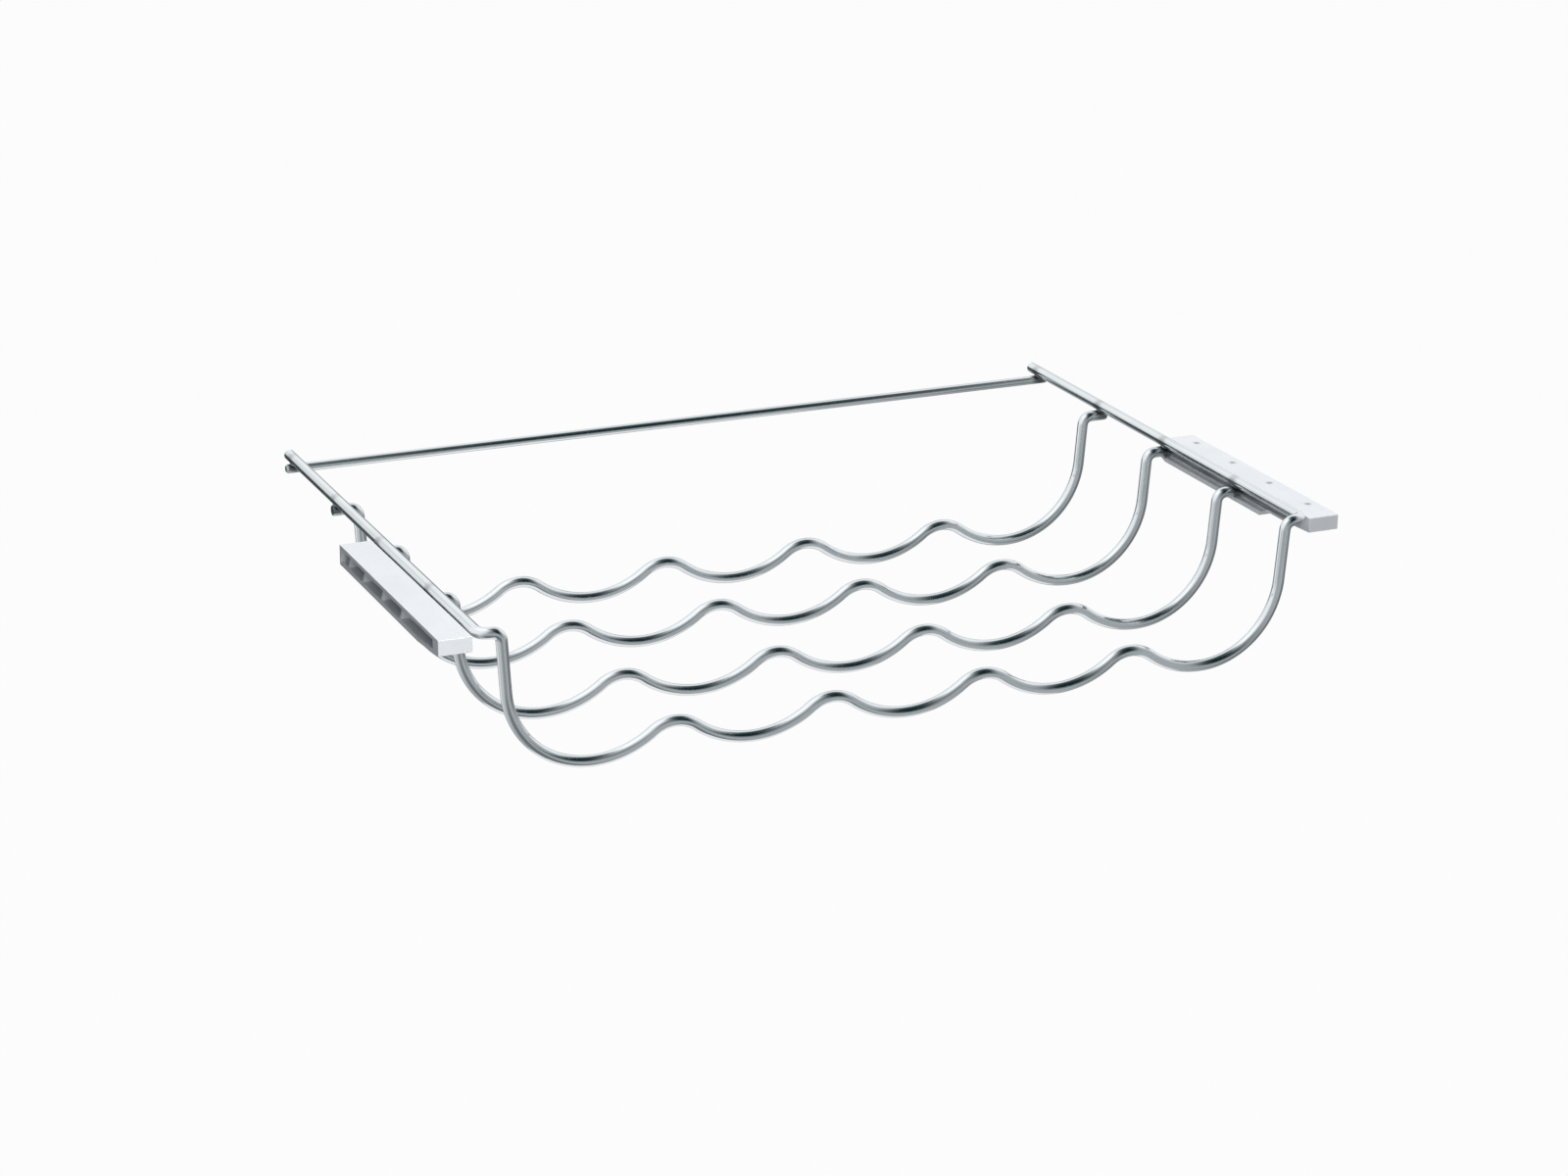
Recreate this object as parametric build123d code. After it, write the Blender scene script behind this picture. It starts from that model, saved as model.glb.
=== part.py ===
"""Pull-out wire bottle rack that slides between two moulded side guides.

The rack is welded from round wire: two straight side rails, four scalloped
wave wires that hang between them and cradle the bottles, and a rear rod.
The front wave turns the corner at each end and runs on as the rail. The other
waves and the rod pass under the rails. Each guide is a ribbed channel, open
towards the cabinet wall, with a low lip on its inner side. The ends of the
wave wires ride on the two lips, and the ends of the rear rod stop the rack.

Millimetres. +X to the right, +Y to the back, +Z up. The origin lies midway
across and midway back, level with the underside of the dips.
"""
import os
from math import asin, cos, degrees, radians, sin

from build123d import *

# Wire
wire_d = 6.0
rod_d = 5.0
weld_sink = 0.6
weld_gap = 0.02
end_chamfer = 0.8

# Scalloped wave, measured on the centre line of the wire
bay_count = 5
bay_pitch = 86.0
dip_radius = 51.5
crest_radius = 19.6
end_dip_radius = 45.6
leg_lean = 4.0
knee_radius = 5.0
corner_radius = 6.0
corner_straight = 0.25
hang_depth = 74.2

# Spacing of the wires from front to back
first_wave_gap = 69.0
second_wave_gap = 77.0
third_wave_gap = 74.5
rod_gap = 76.3
rail_tail = 10.2
rod_overhang = 2.0

# Side guide
guide_lead = 0.5
guide_length = 152.0
guide_width = 17.5
guide_wall = 2.0
rib_wall = 1.8
rib_foot_setback = 0.4
rib_head_setback = 3.2
rib_from_rear = (11.5, 35.0, 64.0, 93.0)
nose_height = 8.2
nose_wall = 8.0
ramp_length = 30.0
bevel_height = 2.8
bevel_width = 2.0
edge_round = 0.6

# Lip under the wave ends
lip_reach = 5.0
lip_rear_reach = 2.6
lip_front_margin = 42.0
lip_lead = 9.0

# Clearances between the rack and the guides
side_clearance = 0.6
ride_clearance = 0.3
stop_clearance = 0.4

# Round marks in the top of the right guide
mark_count = 4
mark_d = 3.0
mark_depth = 0.9
mark_pitch = 38.9
mark_from_front = 21.2
mark_from_edge = 5.7

# Values that follow from the sizes above
wire_r = wire_d / 2
rod_r = rod_d / 2
lean_turn = 90.0 - leg_lean
wave_turn = degrees(asin(bay_pitch / 2 / (dip_radius + crest_radius)))
half_span = (bay_count - 1) / 2 * bay_pitch

wave_y_steps = (first_wave_gap, second_wave_gap, third_wave_gap)
depth = wire_r + sum(wave_y_steps) + rod_gap + rail_tail
front_y = wire_r - depth / 2
wave_ys = [front_y + sum(wave_y_steps[:i]) for i in range(len(wave_y_steps) + 1)]
rod_y = wave_ys[-1] + rod_gap
rail_end_y = rod_y + rail_tail

dip_z = wire_r
rail_z = dip_z + hang_depth
stub_z = rail_z - wire_d + weld_sink
rod_z = rail_z - wire_r - rod_r + weld_sink


def leg_length(top_z):
    """Straight run of a leg between the end dip and the knee, for a stub at height top_z."""
    bend_rise = (end_dip_radius + knee_radius) * (1 - cos(radians(lean_turn)))
    return (top_z - dip_z - bend_rise) / sin(radians(lean_turn))


def knee_end_x(top_z):
    """Distance from the mid-plane at which the knee has turned level, at height top_z."""
    turned = (end_dip_radius + knee_radius) * sin(radians(lean_turn))
    return half_span + turned + leg_length(top_z) * cos(radians(lean_turn))


rail_x = knee_end_x(rail_z) + corner_straight + corner_radius
rail_start_y = front_y + corner_radius
rail_outer_x = rail_x + wire_r

guide_in_x = rail_outer_x + side_clearance
guide_out_x = guide_in_x + guide_width
guide_front_y = front_y - guide_lead
guide_rear_y = guide_front_y + guide_length
guide_top_z = rail_z
lip_top_z = stub_z - wire_r - ride_clearance
guide_base_z = lip_top_z - guide_wall
lip_front_y = guide_front_y + lip_front_margin
nose_base_z = guide_top_z - nose_height
slide_travel = rod_y - rod_r - guide_rear_y - stop_clearance


def wave_edges(top_z, outer_x):
    """Centre line of a wave, drawn as x and z from the left stub to the right one.

    Every piece starts where the last one ended, in the same direction, so the
    wire has no corner. A positive turn is to the left.
    """
    stub = outer_x - knee_end_x(top_z)
    leg = leg_length(top_z)
    swing = [(dip_radius, wave_turn), (crest_radius, -2 * wave_turn), (dip_radius, wave_turn)]
    fall = [(None, stub), (knee_radius, -lean_turn), (None, leg), (end_dip_radius, lean_turn)]
    rise = [(end_dip_radius, lean_turn), (None, leg), (knee_radius, -lean_turn), (None, stub)]
    edges = []
    point = Vector(-outer_x, top_z)
    heading = Vector(1, 0)
    for radius, amount in fall + swing * (bay_count - 1) + rise:
        if radius is None:
            edge = Line(point, point + heading * amount)
        else:
            edge = JernArc(point, heading, radius, amount)
        edges.append(edge)
        point, heading = edge @ 1, edge % 1
    return edges


def round_wire(path):
    """Round wire of the common diameter along a path."""
    return sweep(Plane(path @ 0, z_dir=path % 0) * Circle(wire_r), path=path)


def rail(side):
    """Straight side rail, from the end of the front corner to behind the rod."""
    length = rail_end_y - rail_start_y
    bar = extrude(Plane.XZ * Circle(wire_r), -length)
    bar = chamfer(bar.faces().sort_by(Axis.Y)[-1].edges(), end_chamfer)
    return Pos(side * rail_x, rail_start_y, rail_z) * bar


def weld_seats():
    """Cutters for the shallow seats that the rails press into the wires under them."""
    length = rail_end_y - rail_start_y
    seat = extrude(Plane.XZ * Circle(wire_r + weld_gap), -length)
    return [Pos(side * rail_x, rail_start_y, rail_z) * seat for side in (-1, 1)]


def front_wave():
    """Front wave, with the corner at each end that turns it into the rail."""
    edges = wave_edges(rail_z, rail_x - corner_radius)
    flat = [Pos(0, front_y, 0) * (Plane.XZ * edge) for edge in edges]
    left = JernArc((-rail_x, rail_start_y, rail_z), (0, -1, 0), corner_radius, 90)
    right = JernArc((rail_x - corner_radius, front_y, rail_z), (1, 0, 0), corner_radius, 90)
    return round_wire(Wire([left, *flat, right]))


def hung_wave(y):
    """Wave whose level ends pass under the rails and stop flush with their outer sides."""
    flat = [Pos(0, y, 0) * (Plane.XZ * edge) for edge in wave_edges(stub_z, rail_outer_x)]
    return round_wire(Wire(flat)) - weld_seats()


def rear_rod():
    """Straight rod under the rear ends of the rails, a little longer than the rack is wide."""
    length = 2 * (rail_outer_x + rod_overhang)
    bar = extrude(Plane.YZ * Circle(rod_r), length)
    ends = bar.faces().filter_by(Axis.X)
    bar = chamfer(ends.edges(), end_chamfer)
    return Pos(-length / 2, rod_y, rod_z) * bar - weld_seats()


def guide_outline():
    """Side outline of a guide, drawn as y and z, with the ramp under its nose."""
    outline = Polyline(
        (guide_front_y, guide_top_z),
        (guide_front_y, nose_base_z),
        (guide_front_y + ramp_length, guide_base_z),
        (guide_rear_y, guide_base_z),
        (guide_rear_y, guide_top_z),
        close=True,
    )
    return make_face(outline)


def guide_block():
    """Solid block of a guide with its visible edges rounded."""
    block = Pos(guide_in_x, 0, 0) * extrude(Plane.YZ * guide_outline(), guide_width)
    front_edges = block.faces().sort_by(Axis.Y)[0].edges()
    top_edges = block.faces().sort_by(Axis.Z)[-1].edges()
    shown = front_edges.sort_by(Axis.X)[0:3] + top_edges.sort_by(Axis.X)[0:1]
    return fillet(shown, edge_round)


def guide_hollow():
    """Space inside a guide, closed at both ends and open to the wall."""
    inside = offset(guide_outline(), -guide_wall, kind=Kind.INTERSECTION)
    room = Pos(guide_in_x + guide_wall, 0, 0) * extrude(Plane.YZ * inside, guide_width - guide_wall)
    height = guide_top_z - guide_base_z
    nose = Box(guide_width, nose_wall, height, align=(Align.MIN, Align.MIN, Align.MIN))
    return room - Pos(guide_in_x, guide_front_y, guide_base_z) * nose


def guide_ribs(hollow):
    """Cross ribs of a guide, whose outer edges lean inwards from foot to head."""
    inner_x = guide_in_x + guide_wall
    outline = Polyline(
        (inner_x, guide_base_z),
        (guide_out_x - rib_foot_setback, guide_base_z),
        (guide_out_x - rib_head_setback, guide_top_z),
        (inner_x, guide_top_z),
        close=True,
    )
    plate = extrude(Plane.XZ * make_face(outline), rib_wall / 2, both=True)
    return [hollow & (Pos(0, guide_rear_y - back, 0) * plate) for back in rib_from_rear]


def guide_lip():
    """Lip that carries the wave ends, narrowed at the rear to lead them on."""
    plan = Polyline(
        (guide_in_x, lip_front_y),
        (guide_in_x, guide_rear_y),
        (guide_in_x - lip_rear_reach, guide_rear_y),
        (guide_in_x - lip_reach, guide_rear_y - lip_lead),
        (guide_in_x - lip_reach, lip_front_y),
        close=True,
    )
    return Pos(0, 0, guide_base_z) * extrude(make_face(plan), guide_wall)


def guide_bevel():
    """Cutter for the bevel along the lower inner edge, in front of the lip."""
    corner = Polyline(
        (guide_in_x, guide_base_z),
        (guide_in_x + bevel_width, guide_base_z),
        (guide_in_x, guide_base_z + bevel_height),
        close=True,
    )
    return Pos(0, lip_front_y, 0) * extrude(Plane.XZ * make_face(corner), lip_front_margin)


def guide_marks():
    """Cutters for the small round marks along the outer edge of a guide's top."""
    plug = Cylinder(mark_d / 2, mark_depth, align=(Align.CENTER, Align.CENTER, Align.MAX))
    at_x = guide_out_x - mark_from_edge
    first_y = guide_front_y + mark_from_front
    return [Pos(at_x, first_y + i * mark_pitch, guide_top_z) * plug for i in range(mark_count)]


def guide():
    """Right-hand guide without its marks."""
    hollow = guide_hollow()
    return guide_block() - hollow - guide_bevel() + guide_ribs(hollow) + guide_lip()


right_guide = guide()
nodes = {
    "left_rail": rail(-1),
    "right_rail": rail(1),
    "front_wave": front_wave(),
    "second_wave": hung_wave(wave_ys[1]),
    "third_wave": hung_wave(wave_ys[2]),
    "rear_wave": hung_wave(wave_ys[3]),
    "rear_rod": rear_rod(),
    "left_guide": mirror(right_guide, about=Plane.YZ),
    "right_guide": right_guide - guide_marks(),
}

os.makedirs("parts", exist_ok=True)
for name, shape in nodes.items():
    export_step(shape, f"parts/{name}.step")

print(f"rail at x {rail_x:.2f}, z {rail_z:.2f}, front wave at y {front_y:.2f}")
print(f"guide at x {guide_in_x:.2f} to {guide_out_x:.2f}")
print(f"guide at y {guide_front_y:.2f} to {guide_rear_y:.2f}")
print(f"lip top at z {lip_top_z:.2f}, slide travel {slide_travel:.2f}")
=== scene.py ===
"""Looks of a pull-out wire bottle rack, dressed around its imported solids.

The bright wires are drawn by Geometry Nodes from the rule of their bends: a
row of equal bays, with a leg, a knee and a level stub at each end. Their welds
are small squeezed-out rings at the crossings. The two guides are softened
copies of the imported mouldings. A tent that only mirrors show gives the chrome
its pale and dark bands.

Metres. +X to the right, +Y to the back, +Z up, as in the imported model.
"""

import logging
from collections.abc import Mapping, Sequence
from dataclasses import dataclass, field
from enum import Enum
from math import cos, pi, radians, sin, tau
from typing import Any

import bmesh
import bpy
from mathutils import Matrix, Vector


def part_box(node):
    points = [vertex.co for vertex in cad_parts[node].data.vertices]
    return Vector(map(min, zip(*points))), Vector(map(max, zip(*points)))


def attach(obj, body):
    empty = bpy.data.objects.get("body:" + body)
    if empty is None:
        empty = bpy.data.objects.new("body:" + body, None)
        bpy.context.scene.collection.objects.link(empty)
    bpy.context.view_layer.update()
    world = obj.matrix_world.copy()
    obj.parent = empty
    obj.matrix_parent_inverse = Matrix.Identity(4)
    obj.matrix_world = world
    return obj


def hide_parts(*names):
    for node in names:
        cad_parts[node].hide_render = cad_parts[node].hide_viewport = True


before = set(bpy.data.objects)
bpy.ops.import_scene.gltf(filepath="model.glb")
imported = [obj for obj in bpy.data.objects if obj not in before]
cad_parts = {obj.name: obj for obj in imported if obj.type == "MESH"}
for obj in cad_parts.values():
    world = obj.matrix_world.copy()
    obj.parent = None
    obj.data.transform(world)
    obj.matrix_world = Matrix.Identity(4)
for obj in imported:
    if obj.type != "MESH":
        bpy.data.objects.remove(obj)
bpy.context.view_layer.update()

log = logging.getLogger("bottle_rack")

Colour = tuple[float, float, float]
Point = tuple[float, float, float]


class Body(Enum):
    """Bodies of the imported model."""

    GUIDES = "guides"
    RACK = "rack"


class Slot(Enum):
    """Material slots of the record."""

    BRIGHT_WIRE = "bright_wire"
    WHITE_MOULDING = "white_moulding"


class Side(Enum):
    """Sides of the rack, with their direction along X."""

    LEFT = -1
    RIGHT = 1


class Value:
    """A number socket of a node tree, whose operators add Math nodes."""

    def __init__(self, graph: "Graph", socket: bpy.types.NodeSocket) -> None:
        """Wrap a socket of the graph's tree."""
        self.graph = graph
        self.socket = socket

    def math(self, operation: str, *operands: "Value | float") -> "Value":
        """Apply a Math node.

        Args:
            operation: name of the Math node's operation.
            operands: the node's inputs, in order.

        Returns:
            The node's result.
        """
        settings = {"operation": operation}
        return self.graph.number("ShaderNodeMath", 0, settings, dict(enumerate(operands)))

    def __add__(self, other: "Value | float") -> "Value":
        """Sum."""
        return self.math("ADD", self, other)

    __radd__ = __add__

    def __sub__(self, other: "Value | float") -> "Value":
        """Difference."""
        return self.math("SUBTRACT", self, other)

    def __rsub__(self, other: float) -> "Value":
        """Difference from a plain number."""
        return self.math("SUBTRACT", other, self)

    def __mul__(self, other: "Value | float") -> "Value":
        """Product."""
        return self.math("MULTIPLY", self, other)

    __rmul__ = __mul__

    def __truediv__(self, other: "Value | float") -> "Value":
        """Quotient."""
        return self.math("DIVIDE", self, other)

    def __rtruediv__(self, other: float) -> "Value":
        """Quotient of a plain number."""
        return self.math("DIVIDE", other, self)

    def __neg__(self) -> "Value":
        """Opposite."""
        return self.math("MULTIPLY", self, -1.0)

    def __abs__(self) -> "Value":
        """Size without its sign."""
        return self.math("ABSOLUTE", self)

    def sin(self) -> "Value":
        """Sine of an angle in radians."""
        return self.math("SINE", self)

    def cos(self) -> "Value":
        """Cosine of an angle in radians."""
        return self.math("COSINE", self)

    def asin(self) -> "Value":
        """Angle in radians whose sine this is."""
        return self.math("ARCSINE", self)

    def root(self) -> "Value":
        """Square root."""
        return self.math("SQRT", self)

    def floor(self) -> "Value":
        """Largest whole number that isn't above this."""
        return self.math("FLOOR", self)

    def within(self, low: "Value | float", high: "Value | float") -> "Value":
        """Limit to a range.

        Args:
            low: lower limit.
            high: upper limit.

        Returns:
            The limited value.
        """
        return self.math("MINIMUM", self.math("MAXIMUM", self, low), high)

    def ramp(self, low: float, high: float) -> "Value":
        """Rise smoothly from 0 to 1.

        Args:
            low: where the rise starts.
            high: where it ends; below low, the value falls instead.

        Returns:
            The value of the ramp.
        """
        settings = {"interpolation_type": "SMOOTHSTEP"}
        sockets = {"Value": self, "From Min": low, "From Max": high}
        return self.graph.number("ShaderNodeMapRange", 0, settings, sockets)


class Graph:
    """Adds nodes to one node tree by type, settings and socket values."""

    def __init__(self, tree: bpy.types.NodeTree) -> None:
        """Work on a shader or geometry tree."""
        self.tree = tree

    def add(
        self,
        kind: str,
        settings: Mapping[str, Any] | None = None,
        sockets: Mapping[str | int, Any] | None = None,
    ) -> bpy.types.Node:
        """Add a node.

        Args:
            kind: Blender's name of the node type.
            settings: the node's own properties, which are set first.
            sockets: values or links of its inputs, by name or number.

        Returns:
            The new node.
        """
        node = self.tree.nodes.new(kind)
        for key, setting in (settings or {}).items():
            setattr(node, key, setting)
        for key, given in (sockets or {}).items():
            self.feed(node.inputs[key], given)
        return node

    def feed(self, socket: bpy.types.NodeSocket, given: Any) -> None:
        """Link a socket, or set its value.

        Args:
            socket: input socket of a node.
            given: a wrapped value, an output socket or a plain value.
        """
        source = given.socket if isinstance(given, Value) else given
        if isinstance(source, bpy.types.NodeSocket):
            self.tree.links.new(source, socket)
        else:
            socket.default_value = source

    def number(
        self,
        kind: str,
        output: str | int = 0,
        settings: Mapping[str, Any] | None = None,
        sockets: Mapping[str | int, Any] | None = None,
    ) -> Value:
        """Add a node and wrap one of its outputs.

        Args:
            kind: Blender's name of the node type.
            output: name or number of the output.
            settings: the node's own properties.
            sockets: values or links of its inputs.

        Returns:
            The wrapped output.
        """
        return Value(self, self.add(kind, settings, sockets).outputs[output])

    def vector(self, x: Value | float, y: Value | float, z: Value | float) -> bpy.types.NodeSocket:
        """Join three numbers to a vector.

        Args:
            x: first number.
            y: second number.
            z: third number.

        Returns:
            The vector's socket.
        """
        return self.add("ShaderNodeCombineXYZ", None, {"X": x, "Y": y, "Z": z}).outputs[0]

    def split(self, vector: bpy.types.NodeSocket) -> list[Value]:
        """Split a vector's socket into its X, its Y and its Z."""
        parts = self.add("ShaderNodeSeparateXYZ", None, {0: vector}).outputs
        return [Value(self, part) for part in parts]

    def blend(self, share: Value, first: Any, second: Any) -> bpy.types.NodeSocket:
        """Mix two colours.

        Args:
            share: how much of the second colour there is, from 0 to 1.
            first: colour or socket.
            second: colour or socket.

        Returns:
            The mixed colour's socket.
        """
        # The Mix node has sockets for every data type; 6, 7 and 2 hold its colours.
        sockets = {0: share, 6: opaque(first), 7: opaque(second)}
        return self.add("ShaderNodeMix", {"data_type": "RGBA"}, sockets).outputs[2]

    def attribute(self, name: str) -> Value:
        """Number that a mesh carries under a name."""
        return self.number("ShaderNodeAttribute", "Fac", {"attribute_name": name})

    def place(self) -> bpy.types.NodeSocket:
        """Object coordinates of the surface."""
        return self.add("ShaderNodeTexCoord").outputs["Object"]

    def raise_surface(self, shader: bpy.types.Node, height: Value, strength: float) -> None:
        """Feed a shader's Normal from a Bump node.

        Args:
            shader: the shader node.
            height: height of the surface in metres.
            strength: how strongly the height tells.
        """
        sockets = {"Strength": strength, "Distance": 1.0, "Height": height}
        bump = self.add("ShaderNodeBump", None, sockets)
        self.feed(shader.inputs["Normal"], bump.outputs[0])


@dataclass(frozen=True)
class Noise:
    """Soft noise about 0.5, or patches of it where it has a ramp.

    The scale counts repeats a metre, or a unit of the coordinates, and the detail
    counts finer layers.
    """

    scale: float
    detail: float
    ramp: tuple[float, float] | None = None

    def on(self, graph: Graph, place: bpy.types.NodeSocket) -> Value:
        """Add the noise to a tree.

        Args:
            graph: the tree's graph.
            place: socket of the coordinates.

        Returns:
            The noise, or its ramp from 0 to 1.
        """
        sockets = {"Vector": place, "Scale": self.scale, "Detail": self.detail}
        noise = graph.number("ShaderNodeTexNoise", "Fac", None, sockets)
        return noise.ramp(*self.ramp) if self.ramp else noise


def opaque(colour: Any) -> Any:
    """Give a plain colour its fourth number; a socket stays as it is."""
    return (*colour, 1.0) if isinstance(colour, tuple) else colour


def new_material(name: str) -> tuple[bpy.types.Material, Graph, bpy.types.Node]:
    """Make a material with one Principled shader.

    Args:
        name: the material's name.

    Returns:
        The material, its graph and its shader node.
    """
    material = bpy.data.materials.new(name)
    material.use_nodes = True
    return material, Graph(material.node_tree), material.node_tree.nodes["Principled BSDF"]


@dataclass(frozen=True)
class BrightChrome:
    """Bright chrome plate on drawn wire, a little duller beside the welds, with painted shade
    there: near each weld under the rail its colour is blended nearly to black for the rail's
    shadow.
    """

    name: str = "bright_chrome"
    tint: Colour = (0.775, 0.80, 0.815)
    cool_tint: Colour = (0.735, 0.77, 0.79)
    dull_tint: Colour = (0.50, 0.51, 0.52)
    # Painted shade: near-black colour put on the wire beside the welds under the rail.
    weld_shadow_tint: Colour = (0.07, 0.08, 0.085)
    polish: float = 0.06
    smear_haze: float = 0.05
    line_haze: float = 0.02
    speck_haze: float = 0.1
    speck_share: float = 0.25
    weld_dulling: float = 0.16
    weld_shade: float = 0.9
    line_count: float = 9.0
    line_stretch: float = 7.0
    line_height: float = 0.000012
    ripple_height: float = 0.000008
    bump_strength: float = 1.0
    line_noise: Noise = Noise(1.0, 3.0)
    cloud_noise: Noise = Noise(38.0, 3.0, (0.35, 0.65))
    ripple_noise: Noise = Noise(170.0, 1.0)
    speck_noise: Noise = Noise(1500.0, 0.0, (0.70, 0.78))
    smear_noise: Noise = Noise(95.0, 4.0, (0.52, 0.72))

    def material(self) -> bpy.types.Material:
        """Make the material; it reads the run, turn and weld_dulling_and_shade that the wires carry.

        Returns:
            The new material.
        """
        material, graph, shader = new_material(self.name)
        place = graph.place()
        angle = graph.attribute("turn") * tau
        along = graph.attribute("run") * self.line_stretch
        near_weld = graph.attribute("weld_dulling_and_shade")
        round_wire = graph.vector(
            angle.cos() * self.line_count, angle.sin() * self.line_count, along
        )
        lines = self.line_noise.on(graph, round_wire)
        ripple = self.ripple_noise.on(graph, place)
        specks = self.speck_noise.on(graph, place)
        smears = self.smear_noise.on(graph, place)

        plate = graph.blend(self.cloud_noise.on(graph, place), self.tint, self.cool_tint)
        darkened = graph.blend(specks * self.speck_share, plate, self.dull_tint)
        # Painted shade: beside each weld under the rail the plate is blended nearly to black,
        # standing in for the rail's shadow; the duller plating there is only in the roughness.
        shaded = graph.blend(near_weld * self.weld_shade, darkened, self.weld_shadow_tint)
        graph.feed(shader.inputs["Base Color"], shaded)
        shader.inputs["Metallic"].default_value = 1.0
        hazy = smears * self.smear_haze + lines * self.line_haze + specks * self.speck_haze
        rough = self.polish + hazy + near_weld * self.weld_dulling
        graph.feed(shader.inputs["Roughness"], rough)
        height = (lines - specks) * self.line_height + ripple * self.ripple_height
        graph.raise_surface(shader, height, self.bump_strength)
        return material


@dataclass(frozen=True)
class WeldFlash:
    """Plated metal squeezed out of a weld, uneven and only half bright, with painted shade: its
    dark tint and darker random patches stand in for the shade of the crevice under the rail.
    """

    name: str = "plated_weld_flash"
    tint: Colour = (0.26, 0.27, 0.275)
    crevice_shade: Colour = (0.10, 0.10, 0.10)
    crevice_shade_share: float = 0.7
    polish: float = 0.22
    grain_haze: float = 0.14
    crevice_shade_haze: float = 0.12
    grain_height: float = 0.00009
    bump_strength: float = 0.8
    grain_noise: Noise = Noise(2400.0, 3.0)
    crevice_shade_noise: Noise = Noise(620.0, 2.0, (0.42, 0.68))

    def material(self) -> bpy.types.Material:
        """Make the material.

        Returns:
            The new material.
        """
        material, graph, shader = new_material(self.name)
        place = graph.place()
        grain = self.grain_noise.on(graph, place)
        crevice_patches = self.crevice_shade_noise.on(graph, place)
        # Painted shade: dark tint with darker random patches, for the shade in the crook under the
        # rail.
        colour = graph.blend(crevice_patches * self.crevice_shade_share, self.tint, self.crevice_shade)
        graph.feed(shader.inputs["Base Color"], colour)
        shader.inputs["Metallic"].default_value = 1.0
        rough = self.polish + grain * self.grain_haze + crevice_patches * self.crevice_shade_haze
        graph.feed(shader.inputs["Roughness"], rough)
        graph.raise_surface(shader, grain * self.grain_height, self.bump_strength)
        return material


@dataclass(frozen=True)
class MouldedPlastic:
    """White moulded plastic with a fine satin surface.

    It has faint sink marks over its ribs, dust in its small round marks, and painted shade on the
    inner wall under the rail, over the lip and behind the nose, streaked lengthwise.
    """

    rib_places: tuple[float, ...]
    mark_places: tuple[tuple[float, float], ...]
    inner_x: float
    lip_z: float
    front_y: float
    name: str = "white_moulded_plastic"
    white: Colour = (0.812, 0.832, 0.852)
    shade: Colour = (0.777, 0.799, 0.822)
    dust: Colour = (0.44, 0.445, 0.45)
    scuff_share: float = 0.05
    speck_share: float = 0.18
    mark_radius: float = 0.0031
    mark_core: float = 0.001705
    mark_dust: float = 0.34
    rail_shadow_tint: Colour = (0.095, 0.107, 0.115)
    rail_shadow_share: float = 0.9
    rail_shadow_least: float = 0.5
    rail_shadow_reach: float = 0.0005
    rail_shadow_fade: tuple[float, float] = (0.010, 0.022)
    streak_squeeze: float = 0.04
    gloss: float = 0.40
    grain_haze: float = 0.10
    scuff_haze: float = 0.09
    grain_height: float = 0.00003
    sink_depth: float = 0.00006
    sink_width: float = 0.0035
    bump_strength: float = 0.7
    grain_noise: Noise = Noise(3600.0, 2.0)
    flow_noise: Noise = Noise(26.0, 3.0, (0.36, 0.66))
    scuff_noise: Noise = Noise(130.0, 5.0, (0.56, 0.74))
    speck_noise: Noise = Noise(900.0, 1.0, (0.71, 0.76))
    streak_noise: Noise = Noise(900.0, 2.0, (0.2, 0.6))

    def material(self) -> bpy.types.Material:
        """Make the material.

        Returns:
            The new material.
        """
        material, graph, shader = new_material(self.name)
        place = graph.place()
        across, depth, up = graph.split(place)
        grain = self.grain_noise.on(graph, place)
        scuffs = self.scuff_noise.on(graph, place)
        specks = self.speck_noise.on(graph, place)

        clean = graph.blend(self.flow_noise.on(graph, place), self.white, self.shade)
        dirty = scuffs * self.scuff_share + specks * self.speck_share
        for x, y in self.mark_places:
            off_mark = ((across - x) * (across - x) + (depth - y) * (depth - y)).root()
            dirty = dirty + off_mark.ramp(self.mark_radius, self.mark_core) * self.mark_dust
        dusty = graph.blend(dirty.within(0.0, 1.0), clean, self.dust)
        # Painted shade: the inner wall between lip and rail is blended nearly to black, in
        # lengthwise streaks, for the rail's shadow.
        darkened = graph.blend(self._rail_shadowed(graph, across, depth, up), dusty, self.rail_shadow_tint)
        graph.feed(shader.inputs["Base Color"], darkened)
        rough = self.gloss + grain * self.grain_haze + scuffs * self.scuff_haze
        graph.feed(shader.inputs["Roughness"], rough)

        height = grain * self.grain_height
        for rib in self.rib_places:
            height = height - abs(depth - rib).ramp(self.sink_width, 0.0) * self.sink_depth
        graph.raise_surface(shader, height, self.bump_strength)
        return material

    def _rail_shadowed(self, graph: Graph, across: Value, depth: Value, up: Value) -> Value:
        """Find where painted shade darkens the inner wall under the rail, in lengthwise streaks.

        Args:
            graph: the material's graph.
            across: place along X.
            depth: place along Y.
            up: place along Z.

        Returns:
            How strong the painted shade is, from 0 to 1.
        """
        begun, full = self.rail_shadow_fade
        at_wall = abs(across).ramp(self.inner_x + self.rail_shadow_reach, self.inner_x)
        over_lip = up.ramp(self.lip_z, self.lip_z + self.rail_shadow_reach)
        behind_nose = depth.ramp(self.front_y + begun, self.front_y + full)
        lengthwise = graph.vector(across, depth * self.streak_squeeze, up)
        streaks = self.streak_noise.on(graph, lengthwise)
        marked = streaks * (1 - self.rail_shadow_least) + self.rail_shadow_least
        return at_wall * over_lip * behind_nose * marked * self.rail_shadow_share


def cos_sin(angle: Value | float) -> tuple[Value | float, Value | float]:
    """Find the cosine and the sine of an angle.

    Args:
        angle: a value of a tree, or a plain number, which needs no nodes.

    Returns:
        The cosine and the sine.
    """
    if isinstance(angle, Value):
        return angle.cos(), angle.sin()
    return cos(angle), sin(angle)


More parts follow.
